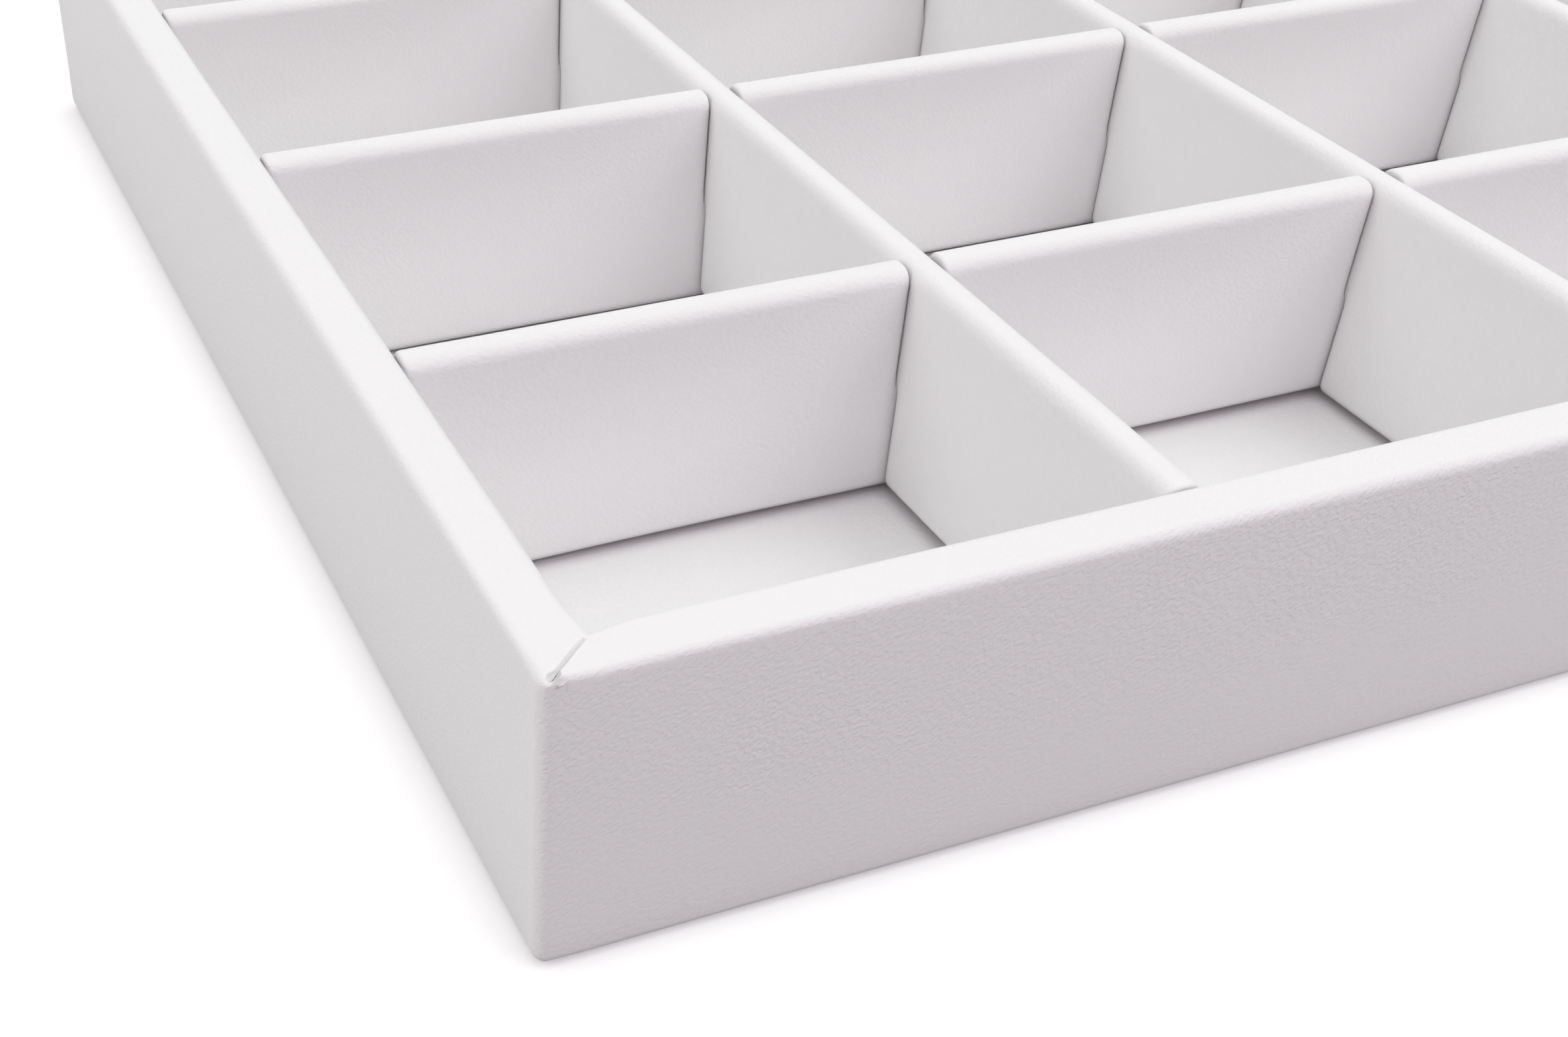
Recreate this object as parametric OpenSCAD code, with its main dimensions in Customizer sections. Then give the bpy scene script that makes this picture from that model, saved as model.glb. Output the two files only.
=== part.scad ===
// Drawer organizer insert: a shallow tray covered in grained leatherette, with a lift-out grid of dividers.
// The origin is the middle of the underside, X runs along the front, Y to the back and Z up. Millimetres.

/* [Tray] */
// Overall width, left to right
tray_w = 353; // [240:1:480]
// Overall depth, front to back
tray_d = 288; // [200:1:400]
// Overall height, from the surface it stands on to the rim
tray_h = 46; // [36:0.5:80]
// Thickness of the wooden rails inside the walls
rail_t = 6.5; // [5:0.5:10]
// Thickness of the base board
base_t = 2.5; // [2:0.5:5]
// How far the base board is let into the foot of each rail
rabbet_w = 3; // [2:0.5:4]

/* [Cover] */
// Thickness of the leatherette
cover_t = 0.9; // [0.6:0.1:1.2]
// Radius of the upright outer corners
corner_r = 2.4; // [2:0.1:5]
// Radius of the rim's outer edge
rim_outer_r = 2.2; // [1.4:0.1:2.4]
// Radius of the rim's inner edge
rim_inner_r = 1.5; // [1.4:0.1:2]
// Radius of the bottom outer edge
foot_r = 1.2; // [1:0.1:2]
// Width of the cover turned in under the base, from the outer face
turn_in = 16; // [12:1:25]
// Width of the slits where cut edges of leatherette meet
slit_w = 0.4; // [0.2:0.1:0.8]
// How far a mitre slit runs down the outside of its corner
slit_drop = 2; // [1.5:0.1:4]

/* [Floor] */
// Thickness of the card inside the floor pad
card_t = 1.5; // [1:0.5:4]
// Gap between the floor pad and the walls
pad_gap = 0.3; // [0.2:0.1:1]
// Radius of the pad's upper edge
pad_edge_r = 1.2; // [1:0.1:1.8]
// Width of the lining turned in under the card, from the pad's edge
pad_turn_in = 14; // [10:1:25]
// How far the felt stands below the turned-in cover
felt_proud = 0.2; // [0.1:0.1:0.6]
// Gap between the felt and the turned-in cover
felt_margin = 1; // [0.5:0.5:5]

/* [Dividers] */
// Compartments from left to right
columns = 4; // [2:1:5]
// Compartments from front to back
rows = 4; // [2:1:5]
// Thickness of the board inside each divider
divider_board_t = 4; // [3:0.5:6]
// Radius of the dividers' long edges
divider_edge_r = 2.4; // [1.3:0.1:2.6]
// Radius of the edges at the dividers' ends
divider_end_r = 1.2; // [1:0.1:2]
// How far the row dividers stand below the rim
divider_drop = 0.7; // [0.4:0.1:4]
// Gap at each end of a divider
end_gap = 0.4; // [0.3:0.1:1.5]
// Gap on each side of a divider in a slot
slot_gap = 0.35; // [0.3:0.05:1.5]
// Gap between the column dividers and the floor
foot_gap = 0.3; // [0.2:0.1:1]

/* [Hidden] */
// Least width of flat between two rounded edges, and least radius of a wooden or card edge
least_flat = 0.6;
least_edge_r = 0.2;
// How far a cutting shape runs past what it cuts
past = 1;

rim_w = rail_t + 2 * cover_t;
inner_w = tray_w - 2 * rim_w;
inner_d = tray_d - 2 * rim_w;

// Heights, from the surface that the felt stands on
cover_z = felt_proud;
base_z = cover_z + cover_t;
base_top_z = base_z + base_t;
card_z = base_top_z + cover_t;
floor_z = card_z + card_t + cover_t;

// The floor pad, over its lining
pad_w = inner_w - 2 * pad_gap;
pad_d = inner_d - 2 * pad_gap;

// The dividers, over their covers
divider_t = divider_board_t + 2 * cover_t;
divider_h = tray_h - divider_drop - floor_z;
row_l = inner_w - 2 * end_gap;
column_l = inner_d - 2 * end_gap;
cell_w = (inner_w - (columns - 1) * divider_t) / columns;
cell_d = (inner_d - (rows - 1) * divider_t) / rows;
slot_w = divider_t + 2 * slot_gap;
// The long edges' radius, limited so that a flat is left between them
divider_r = min(divider_edge_r, (divider_t - least_flat) / 2);
lap_h = divider_h / 2;

// The tray's corners as [x side, y side, direction of the mitre inwards]
corners = [[-1, -1, 45], [1, -1, 135], [1, 1, 225], [-1, 1, 315]];
// The corner where the two ends of the wall cover meet
joined_corner = 2;

leatherette = [0.93, 0.93, 0.93];
wood = [0.73, 0.60, 0.45];
card = [0.62, 0.61, 0.58];
felt = [0.80, 0.80, 0.79];

row_numbers = [1:rows - 1];
column_numbers = [1:columns - 1];

$fn = 48;

// Radius of a board's edge under a cover whose edge has radius r
function edge_under(r) = max(r - cover_t, least_edge_r);

// Middle of a row divider, counted from the front, and of a column divider, counted from the left
function row_y(i) = -inner_d / 2 + i * (cell_d + divider_t) - divider_t / 2;
function column_x(i) = -inner_w / 2 + i * (cell_w + divider_t) - divider_t / 2;

// Box centred in plan, from z up
module slab(w, d, z, h) {
    translate([-w / 2, -d / 2, z]) cube([w, d, h]);
}

// What a rounded edge leaves out of a square one, with the body towards +x and +y
module edge_waste(r) {
    difference() {
        square(r);
        translate([r, r]) circle(r);
    }
}

// Wall section from z0 to z1, x inwards from the outer face, with its own radius on each rounded edge
module wall_section(w, z0, z1, outer_r, inner_r, low_r) {
    difference() {
        translate([0, z0]) square([w, z1 - z0]);
        translate([0, z1]) mirror([0, 1]) edge_waste(outer_r);
        translate([w, z1]) rotate(180) edge_waste(inner_r);
        translate([0, z0]) edge_waste(low_r);
    }
}

// Sweeps a section round a w by d plan whose upright corners have radius r
module sweep_walls(w, d, r) {
    for (side = [0:3]) {
        run = side % 2 == 0 ? w : d;
        reach = side % 2 == 0 ? d : w;
        rotate([0, 0, 90 * side]) translate([-run / 2 + r, -reach / 2, 0]) {
            rotate([90, 0, 90]) linear_extrude(run - 2 * r) children();
            translate([run - 2 * r, r, 0]) rotate([0, 0, -90]) rotate_extrude(angle = 90) {
                intersection() {
                    translate([r, 0]) mirror([1, 0]) children();
                    square([r, tray_h]);
                }
            }
        }
    }
}

// The four rails as one ring, before their mitres are cut
module rail_ring() {
    sweep_walls(tray_w - 2 * cover_t, tray_d - 2 * cover_t, corner_r - cover_t) {
        difference() {
            wall_section(rail_t, base_z, tray_h - cover_t,
                         edge_under(rim_outer_r), edge_under(rim_inner_r), edge_under(foot_r));
            translate([rail_t - rabbet_w, base_z - past]) square([rabbet_w + past, base_t + past]);
        }
    }
}

// One rail between its two mitres; side 0 is the front, and the rest follow anticlockwise
module rail(side) {
    run = side % 2 == 0 ? tray_w : tray_d;
    reach = side % 2 == 0 ? tray_d : tray_w;
    color(wood) intersection() {
        rail_ring();
        rotate([0, 0, 90 * side]) translate([0, -reach / 2, 0]) linear_extrude(tray_h) {
            polygon([[-run / 2, 0], [run / 2, 0], [run / 2 - rim_w, rim_w], [-run / 2 + rim_w, rim_w]]);
        }
    }
}

module base_board() {
    let_in = 2 * (cover_t + rail_t - rabbet_w);
    color(wood) slab(tray_w - let_in, tray_d - let_in, base_z, base_t);
}

// Slit along a corner's mitre plane: over the rim, down the inside and across the turn-in below
module mitre_slit(corner) {
    rim_end = rim_w * sqrt(2) + past;
    foot_end = turn_in * sqrt(2) + past;
    inside = (rim_w - cover_t - rail_t / 2) * sqrt(2);
    joined = corner == joined_corner;
    translate([corners[corner][0] * tray_w / 2, corners[corner][1] * tray_d / 2, 0])
    rotate([90, 0, corners[corner][2]]) translate([0, 0, -slit_w / 2]) linear_extrude(slit_w) {
        translate([0, tray_h - slit_drop]) square([rim_end, slit_drop + past]);
        translate([inside, base_top_z - past]) square([rim_end - inside, tray_h - base_top_z]);
        translate([joined ? 0 : corner_r, cover_z - past]) square([foot_end, cover_t + past]);
        if (joined) translate([0, cover_z]) square([corner_r, tray_h - cover_z]);
    }
}

// One strip of leatherette up the outside, over the rim and down the inside, turned in under the base
module wall_cover() {
    color(leatherette) difference() {
        sweep_walls(tray_w, tray_d, corner_r) {
            wall_section(rim_w, cover_z, tray_h, rim_outer_r, rim_inner_r, foot_r);
            translate([rim_w / 2, cover_z]) square([turn_in - rim_w / 2, cover_t]);
        }
        rail_ring();
        base_board();
        for (corner = [0:3]) mitre_slit(corner);
    }
}

module floor_card() {
    color(card) slab(pad_w - 2 * cover_t, pad_d - 2 * cover_t, card_z, card_t);
}

// Leatherette over the floor card, turned in under its four edges
module floor_lining() {
    pad_h = floor_z - base_top_z;
    color(leatherette) difference() {
        union() {
            sweep_walls(pad_w, pad_d, pad_edge_r) {
                difference() {
                    translate([0, base_top_z]) square([pad_turn_in, pad_h]);
                    translate([0, floor_z]) mirror([0, 1]) edge_waste(pad_edge_r);
                }
            }
            slab(pad_w - pad_turn_in, pad_d - pad_turn_in, floor_z - cover_t, cover_t);
        }
        floor_card();
    }
}

module underside_felt() {
    inset = 2 * (turn_in + felt_margin);
    color(felt) slab(tray_w - inset, tray_d - inset, 0, base_z);
}

// Rectangle centred on x, from y = 0 up, with its four corners rounded
module round_rect(w, h, r) {
    difference() {
        translate([-w / 2, 0]) square([w, h]);
        for (side = [0, 1]) mirror([side, 0]) {
            translate([-w / 2, 0]) edge_waste(r);
            translate([-w / 2, h]) mirror([0, 1]) edge_waste(r);
        }
    }
}

// Bar along X that stands on z = 0, with every edge rounded: the three views of it, run through each other
module round_bar(l, t, h, long_r, end_r) {
    intersection() {
        translate([0, t / 2, 0]) rotate([90, 0, 0]) linear_extrude(t) round_rect(l, h, end_r);
        translate([-l / 2, 0, 0]) rotate([90, 0, 90]) linear_extrude(l) round_rect(t, h, long_r);
        translate([0, -t / 2, 0]) linear_extrude(h) round_rect(l, t, end_r);
    }
}

// The board inside a divider of length l
module divider_board(l) {
    translate([0, 0, cover_t])
    round_bar(l - 2 * cover_t, divider_board_t, divider_h - 2 * cover_t,
              edge_under(divider_r), edge_under(divider_end_r));
}

// Leatherette all round a divider, with its two edges meeting along the bottom
module divider_cover(l) {
    difference() {
        round_bar(l, divider_t, divider_h, divider_r, divider_end_r);
        divider_board(l);
        translate([-l / 2 + divider_end_r, -slit_w / 2, -past])
        cube([l - 2 * divider_end_r, slit_w, cover_t + past]);
    }
}

// The slots of a half lap, from z up, at the places given along the divider
module slots(places, z, h) {
    for (x = places) translate([x - slot_w / 2, -divider_t, z]) cube([slot_w, 2 * divider_t, h]);
}

// Puts a row divider in its place, with its slots cut from the top
module row_place(i) {
    translate([0, row_y(i), floor_z]) difference() {
        children();
        slots([for (k = column_numbers) column_x(k)], lap_h, divider_h);
    }
}

// Puts a column divider in its place, with its slots cut from the bottom so that it seats on the rows
module column_place(i) {
    translate([column_x(i), 0, floor_z + foot_gap]) rotate([0, 0, 90]) difference() {
        children();
        slots([for (k = row_numbers) row_y(k)], -past, lap_h - foot_gap + past);
    }
}

module row_divider_board(i) { color(card) row_place(i) divider_board(row_l); }
module row_divider_cover(i) { color(leatherette) row_place(i) divider_cover(row_l); }
module column_divider_board(i) { color(card) column_place(i) divider_board(column_l); }
module column_divider_cover(i) { color(leatherette) column_place(i) divider_cover(column_l); }

base_board();
rail(0);  // front_rail
rail(1);  // right_rail
rail(2);  // rear_rail
rail(3);  // left_rail
wall_cover();
floor_card();
floor_lining();
underside_felt();
for (i = row_numbers) {
    row_divider_board(i);
    row_divider_cover(i);
}
for (i = column_numbers) {
    column_divider_board(i);
    column_divider_cover(i);
}
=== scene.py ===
"""Looks of the drawer organizer insert: leatherette skins, inner boards, felt, stage, light and camera."""

import math
from dataclasses import dataclass
from typing import NamedTuple

import bmesh
import bpy
import numpy as np
from mathutils import Matrix, Vector, noise

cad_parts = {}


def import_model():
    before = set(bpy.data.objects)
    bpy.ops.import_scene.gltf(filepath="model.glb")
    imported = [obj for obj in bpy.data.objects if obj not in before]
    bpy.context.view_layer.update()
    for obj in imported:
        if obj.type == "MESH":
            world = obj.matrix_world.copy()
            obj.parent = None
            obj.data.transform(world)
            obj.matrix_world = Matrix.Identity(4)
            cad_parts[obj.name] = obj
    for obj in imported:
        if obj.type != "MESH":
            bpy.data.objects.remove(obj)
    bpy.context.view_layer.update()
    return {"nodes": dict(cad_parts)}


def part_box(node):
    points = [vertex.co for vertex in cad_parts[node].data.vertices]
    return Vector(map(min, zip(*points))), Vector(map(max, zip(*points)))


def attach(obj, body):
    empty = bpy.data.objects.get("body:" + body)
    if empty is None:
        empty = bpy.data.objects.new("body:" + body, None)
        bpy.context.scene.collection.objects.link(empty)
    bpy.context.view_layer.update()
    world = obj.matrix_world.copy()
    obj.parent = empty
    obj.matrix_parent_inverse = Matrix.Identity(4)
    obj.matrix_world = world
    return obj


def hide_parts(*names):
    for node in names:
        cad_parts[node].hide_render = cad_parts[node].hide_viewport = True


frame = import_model()

MM = 0.001
UP = np.array([0, 0, 1])
DIVIDER_NUMBERS = range(1, 4)

# Sizes taken from the frame
WALL_LOW, WALL_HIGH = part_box("wall_cover")
RAIL_LOW, RAIL_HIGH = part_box("front_rail")
PAD_LOW, PAD_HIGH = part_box("floor_lining")
FELT_LOW, FELT_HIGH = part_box("underside_felt")
ROW_LOW, ROW_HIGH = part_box("row_divider_1_cover")
TRAY_W = WALL_HIGH.x - WALL_LOW.x
TRAY_D = WALL_HIGH.y - WALL_LOW.y
PAD_W = PAD_HIGH.x - PAD_LOW.x
PAD_D = PAD_HIGH.y - PAD_LOW.y
FOOT_Z = WALL_LOW.z
RIM_Z = WALL_HIGH.z
COVER_T = RAIL_LOW.y - WALL_LOW.y
RIM_W = RAIL_HIGH.y - RAIL_LOW.y + 2 * COVER_T
LINING_FOOT_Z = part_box("base_board")[1].z
LAP_Z = (ROW_LOW.z + ROW_HIGH.z) / 2

# Thickness of the skins, which stay just clear of the boards that they cover
BOARD_CLEARANCE = 0.08 * MM
SKIN_T = COVER_T - BOARD_CLEARANCE
SLOT_LINING_T = 0.2 * MM
FELT_CLEARANCE = 0.15 * MM

# Rounded edges of the wall's, the floor's and the dividers' covers, and the widths turned in below
CORNER_R = 1.8 * MM
RIM_OUTER_R = 1.8 * MM
RIM_INNER_R = 1.5 * MM
FOOT_R = 1.9 * MM
TURN_IN = 16 * MM
PAD_EDGE_R = 1.2 * MM
PAD_CORNER_R = 0.8 * MM
PAD_TURN_IN = 14 * MM
DIVIDER_EDGE_R = 2.4 * MM
DIVIDER_END_R = 0.9 * MM
DIVIDER_FOOT_R = 2.4 * MM

# Fit of the dividers' covers at the walls, below the rim and in the half laps
END_REACH = 0.2 * MM
TOP_BELOW_RIM = 0.25 * MM
SLOT_GAP = 0.1 * MM
SLOT_EDGE_R = 0.7 * MM
SLOT_EDGE_FADE = 2 * MM

# Kinds of faces in a skin's grid
CUT_OUT, COVERED, BARE, LINING = range(4)

# Spacing of the rows and columns of the swept skins
COLUMN_STEP = 5 * MM
MITRE_ZONE = 16 * MM
MITRE_COLUMNS = 28
FINEST_COLUMN = 0.12 * MM
UNDER_STEP = 2 * MM
WALL_STEP = 3 * MM
RIM_STEP = 0.6 * MM
FOOT_BENDS = 6
RIM_OUTER_BENDS = 10
RIM_INNER_BENDS = 7
PAD_UNDER_STEP = 2.5 * MM
PAD_EDGE_STEP = 1 * MM
PAD_STEP = 5 * MM
PAD_LOWER_BENDS = 4
PAD_UPPER_BENDS = 6
FELT_STEP = 4 * MM

# Spacing on the dividers' covers: steps, bends, angles in degrees and shares of the way to the middle
DIVIDER_STEP = 2.4 * MM
DIVIDER_FLAT_STEP = 0.7 * MM
DIVIDER_COLUMN_STEP = 2.5 * MM
DIVIDER_FOOT_BENDS = 5
DIVIDER_TOP_BENDS = 9
DIVIDER_END_BENDS = 5
DIVIDER_END_SHARES = (0.5, 1.0)
SLOT_EDGE_TURNS = (0, 20, 40, 60)
LINING_SHARES = (0, 0.35, 0.7, 1)
PLACE_DIGITS = 7

# Distances below which points are one, and the angle from which an edge looks sharp
WELD = 1e-6
TOUCHING = 1e-7
SHARP_ANGLE = math.radians(50)

# Unevenness of the hand-covered surfaces: depth and length of its waves, and finer waves on them
WAVE = 0.05 * MM
WAVE_LENGTH = 28 * MM
FINER_SHARE = 0.4
FINER_BY = 2.7
FELT_WAVE = 0.06 * MM
FELT_WAVE_LENGTH = 9 * MM

# Mitre slits on the rim's corners: where they start and end, their grooves and the lips beside them
SLIT_START = RIM_Z - 0.6 * RIM_OUTER_R
SLIT_DEEPENS = 0.5 * RIM_OUTER_R
SLIT_FADE = 1.2 * MM
SLIT_OPEN = 0.5
GROOVE_DEPTH = 0.25 * MM
GROOVE_HALF_W = 0.34 * MM
GROOVE_EDGE = 0.14 * MM
GROOVE_JAGS = 0.9 * MM
OVER_RAGGED = 0.3
UNDER_RAGGED = 0.1
BAND_COLUMNS = 6
SLIT_LIP = 0.05 * MM
SLIT_LIP_REACH = 0.5 * MM

# Raised tip of the leatherette where a slit ends on the rim's outer edge
TIP_INSET = 0.75 * RIM_OUTER_R
TIP_FADE = 0.7 * MM
TIP_GAP = 0.12 * MM
TIP_DEPTH = 0.35 * MM
TIP_LIP = 0.3 * MM
TIP_LIP_REACH = 1.4 * MM
TIP_SINK = 0.4

# Half gaps at the corner where the strip's ends meet and under the base
JOINED_CORNER = 2
JOINED_GAP = 0.1 * MM
UNDER_GAP = 0.3 * MM
UNDER_GAP_FADE = 3 * MM
GAP_REACH = 1.5 * MM

# Curve of the slits beside the diagonal
SLIT_SHIFT_OUTSIDE = 0.7 * MM
SLIT_SHIFT_INSIDE = 1.5 * MM
SLIT_SHIFT_REACH = 4 * MM
SLIT_CURVE = 1.5

# Tighter rim and fuller foot near the tray's corners
RIM_TIGHTEN = 0.6 * MM
RIM_TIGHT_REACH = 60 * MM
FOOT_FULLNESS = 0.4 * MM
FOOT_FULL_REACH = 5 * MM
FOOT_LIFT = 0.1 * MM
FOOT_LIFT_REACH = 9 * MM
FOOT_FADE = 8 * MM

# Wavy tops of the dividers, and feet that stand off the floor away from the ends, most on the first divider
TOP_DROP = 0.1 * MM
TOP_DROP_LENGTH = 40 * MM
TOP_SHARE = 0.5
DIVIDER_RISE = 0.8 * MM
RISE_LENGTH = 55 * MM
RISE_MEAN = 0.7
RISE_SPREAD = 0.5
RISE_LANE = 7
RISE_END_REACH = 9 * MM
FOOT_SHARE = 0.2

# Places in the noise that set the dividers apart
DIVIDER_SEED_STEP = 0.31
COLUMN_SEED = 2

# Where on the roll of leatherette the dividers' and the floor's covers are cut, the wall's strip being at 0
DIVIDER_CUT = 1.0
DIVIDER_CUT_STEP = 0.41
FLOOR_CUT = 2.0

# Pebble grain of the leatherette: its slant, cell and depth, and the share of it that is colour
GRAIN_SLANT = math.radians(38)
GRAIN_CELL = (0.85 * MM, 0.6 * MM, 1)
GRAIN_DEPTH = 0.075 * MM
GRAIN_SHADE = 0.06
FINE_GRAIN = 0.2

# Share of the grain's depth away from the upper half of the front wall, and how that half fades out
SHALLOW_GRAIN = 0.55
DEEP_GRAIN_BELOW_RIM = (34 * MM, 12 * MM)
DEEP_GRAIN_EDGE = 2 * MM

# Painted shade that greys the leatherette where creases, joints and the foot are closed in: its reach, the
# openness over which it fades and its share
CREASE_REACH = 3 * MM
CREASE_OPENNESS = (0.3, 0.95)
PAINTED_SHADE_SHARE = 0.42

# Colours of the materials
WHITE_LEATHERETTE = (0.885, 0.885, 0.885, 1)
GRAIN_COLOR = (0.62, 0.6, 0.61, 1)
# Colour of the painted shade in the leatherette's creases
PAINTED_SHADE_COLOR = (0.4, 0.37, 0.385, 1)
BACKING_COLORS = ((0.64, 0.64, 0.63, 1), (0.76, 0.76, 0.75, 1))
FELT_COLORS = ((0.42, 0.42, 0.41, 1), (0.68, 0.68, 0.67, 1))
WOOD_COLORS = ((0.36, 0.25, 0.15, 1), (0.6, 0.46, 0.3, 1))
GREY_BOARD_COLORS = ((0.48, 0.47, 0.45, 1), (0.66, 0.65, 0.63, 1))
STAGE_COLOR = (0.52, 0.52, 0.52, 1)
STAGE_GLOW_COLOR = (1, 0.985, 1, 1)

# Stage: half its side, the painted soft shadow round the foot, and where its own glow takes over from the
# lamps
STAGE_HALF = 12
SHADOW_REACH = 8 * MM
SHADOW_DEPTH = 0.36
FLOOR_GLOW = 0.32
LIT_REACH = (0.5, 2.0)

# Studio lamps: name, place, side of the square, power and tint
LAMPS = [
    ("overhead", (0, 0, 1.5), 1.2, 5.6, (0.95, 1, 0.97)),
    ("left", (-1.1, 0, 1.0), 1.2, 4.3, (1, 0.96, 1)),
    ("low_left", (-1.3, 0, 0.4), 1.2, 6.7, (1, 0.97, 0.95)),
    ("front", (0, -1.1, 1.0), 1.2, 4.3, (1, 0.85, 0.95)),
    ("front_right", (0.8, -0.8, 1.0), 1.2, 7.7, (1, 0.97, 0.99)),
    ("front_near", (-0.35, -0.75, 0.7), 0.8, 0.75, (1, 0.86, 0.96)),
    ("high_right", (0.7, 0, 1.4), 0.8, 4.2, (0.93, 1, 0.95)),
    ("behind_right", (0.8, 0.8, 1.0), 1.2, 3.2, (1, 1, 1)),
    ("low_behind", (0, 1.3, 0.4), 1.2, 3.5, (1, 1, 1)),
]

# Camera, from a fit to the tray's edges
CAMERA_FROM_NEAR_CORNER = Vector((-63.0, -154.9, 179.7)) * MM
CAMERA_AZIMUTH = math.radians(22.21)
CAMERA_ELEVATION = math.radians(40.17)
CAMERA_ROLL = math.radians(0.83)
CAMERA_LENS = 44.97
CAMERA_SENSOR = 36
CAMERA_SHIFT = (0.1547, 0.139)
CAMERA_NEAREST = 10 * MM


class Row(NamedTuple):
    """One row of a swept section: inset and height, the outward normal, and its run along the section."""

    inset: float
    height: float
    n_in: float
    n_up: float
    run: float = 0.0

    def point(self):
        """The point on the section that the row stands for."""
        return self.inset, self.height


class DividerRow(NamedTuple):
    """One row of a divider's section: a core point, the outward normal, the radius round it, and its run."""

    y: float
    z: float
    n_y: float
    n_z: float
    r: float
    run: float = 0.0

    def point(self):
        """The point on the divider's skin, across and up, that the row stands for."""
        return self.y + self.r * self.n_y, self.z + self.r * self.n_z


class Column(NamedTuple):
    """One column of a divider: its place, the turn of the end's edge, and the share drawn to the middle."""

    x: float
    turn: float = 0.0
    share: float = 0.0


@dataclass
class Divider:
    """Sizes and place of one covered divider, which lies along X in its own frame."""

    index: int
    length: float
    thick: float
    tall: float
    lap: float
    slots: list
    notch_on_top: bool
    spin: np.ndarray
    centre: np.ndarray
    seed: np.ndarray

    @property
    def half_slot(self):
        """Half of a half lap's width."""
        return self.thick / 2 + SLOT_GAP

    def edge_away(self, x):
        """Distance of a place along the divider to the nearest edge of a slot."""
        return min(abs(abs(x - s) - self.half_slot) for s in self.slots)

    def open_height(self, height):
        """How far a height is on the open side of the half laps."""
        return height - self.lap if self.notch_on_top else self.lap - height


def spaced(start, end, step):
    """Evenly spaced values from start to end, about step apart."""
    count = max(1, round(abs(end - start) / step))
    return np.linspace(start, end, count + 1)


def smooth(values):
    """Smooth step of values from 0 to 1."""
    t = np.clip(values, 0, 1)
    return t * t * (3 - 2 * t)


def hump(distance, reach):
    """1 at no distance, fading to 0 past reach."""
    return np.exp(-((distance / reach) ** 2))


def wave_of(point, length):
    """Soft unevenness at a point, from about -1 to 1."""
    place = Vector(point)
    return noise.noise(place / length) + FINER_SHARE * noise.noise(place * FINER_BY / length)


def straight(start, end, step, normal):
    """Section rows on a straight stretch from start to end."""
    length = math.dist(start, end)
    way_in, way_up = end[0] - start[0], end[1] - start[1]
    along = spaced(0, length, step) / length
    return [Row(start[0] + way_in * t, start[1] + way_up * t, *normal) for t in along]


def bend(centre, radius, first, last, steps):
    """Section rows on an arc between two angles, without its two ends, which straight stretches hold."""
    rows = []
    for angle in np.radians(np.linspace(first, last, steps + 1)[1:-1]):
        c, s = math.cos(angle), math.sin(angle)
        rows.append(Row(centre[0] + radius * c, centre[1] + radius * s, c, s))
    return rows


def with_run(rows):
    """The rows with how far along the section each one is."""
    run, last, out = 0.0, rows[0], []
    for row in rows:
        run += math.dist(last.point(), row.point())
        out.append(row._replace(run=run))
        last = row
    return out


def skin_mesh(name, patches):
    """A mesh from grids of points, their places on the flat sheet and the kinds of their faces."""
    mesh = bmesh.new()
    layer = mesh.loops.layers.uv.new("sheet")
    weight = mesh.verts.layers.deform.verify()
    for points, flat, kinds in patches:
        verts = [[mesh.verts.new(point) for point in line] for line in points]
        for vert in sum(verts, []):
            vert[weight][0] = float(LINING not in kinds)
        for r, c in zip(*np.nonzero(kinds != CUT_OUT)):
            corners = [(r, c), (r, c + 1), (r + 1, c + 1), (r + 1, c)]
            face = mesh.faces.new([verts[i][j] for i, j in corners])
            face.smooth = True
            face.material_index = int(kinds[r, c] == BARE)
            for loop, (i, j) in zip(face.loops, corners):
                loop[layer].uv = flat[i, j]
    bmesh.ops.remove_doubles(mesh, verts=mesh.verts, dist=WELD)
    bmesh.ops.dissolve_degenerate(mesh, edges=mesh.edges, dist=TOUCHING)
    bmesh.ops.delete(mesh, geom=[v for v in mesh.verts if not v.link_faces], context="VERTS")
    data = bpy.data.meshes.new(name)
    mesh.to_mesh(data)
    mesh.free()
    return data


def skin_piece(name, patches, thickness, face, back):
    """A piece of sheet thickened towards its inside, with a material for its face and one for its back."""
    data = skin_mesh(name, patches)
    data.materials.append(face)
    data.materials.append(back)
    piece = bpy.data.objects.new(name, data)
    bpy.context.scene.collection.objects.link(piece)
    solid = piece.modifiers.new("thickness", "SOLIDIFY")
    solid.thickness = thickness
    solid.vertex_group = piece.vertex_groups.new(name="full_thickness").name
    solid.thickness_vertex_group = SLOT_LINING_T / thickness
    solid.offset = -1
    solid.material_offset = 1
    solid.material_offset_rim = 1
    apply_modifiers(piece)
    piece.vertex_groups.clear()
    piece.data.set_sharp_from_angle(angle=SHARP_ANGLE)
    return piece


def apply_modifiers(piece):
    """Puts the evaluated mesh in place of the piece's mesh and its modifiers."""
    graph = bpy.context.evaluated_depsgraph_get()
    made = bpy.data.meshes.new_from_object(piece.evaluated_get(graph))
    made.name = piece.name
    piece.modifiers.clear()
    piece.data = made


def leather_piece(name, patches):
    """A piece of leatherette in the shape of a skin."""
    return skin_piece(name, patches, SKIN_T, LEATHERETTE, BACKING)


def half_columns(length, inset, radius):
    """Columns from a side's middle to its mitre: place, inset, turn, distance to the mitre, and run."""
    reach = length / 2 - max(radius, inset)
    turn_r = max(radius - inset, 0)
    total = reach + turn_r * math.pi / 4
    middle = np.linspace(total, MITRE_ZONE, max(2, round((length / 2 - MITRE_ZONE) / COLUMN_STEP)))[:-1]
    near = np.geomspace(MITRE_ZONE, FINEST_COLUMN, MITRE_COLUMNS)
    gap = np.minimum(np.concatenate([middle, near, [0]]), total)
    angle = np.maximum(math.pi / 4 - gap / turn_r, 0) if turn_r > 0 else 0 * gap
    x = np.minimum(total - gap, reach) + turn_r * np.sin(angle)
    y = inset + turn_r * (1 - np.cos(angle))
    return x, y, angle, gap, total - gap


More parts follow.
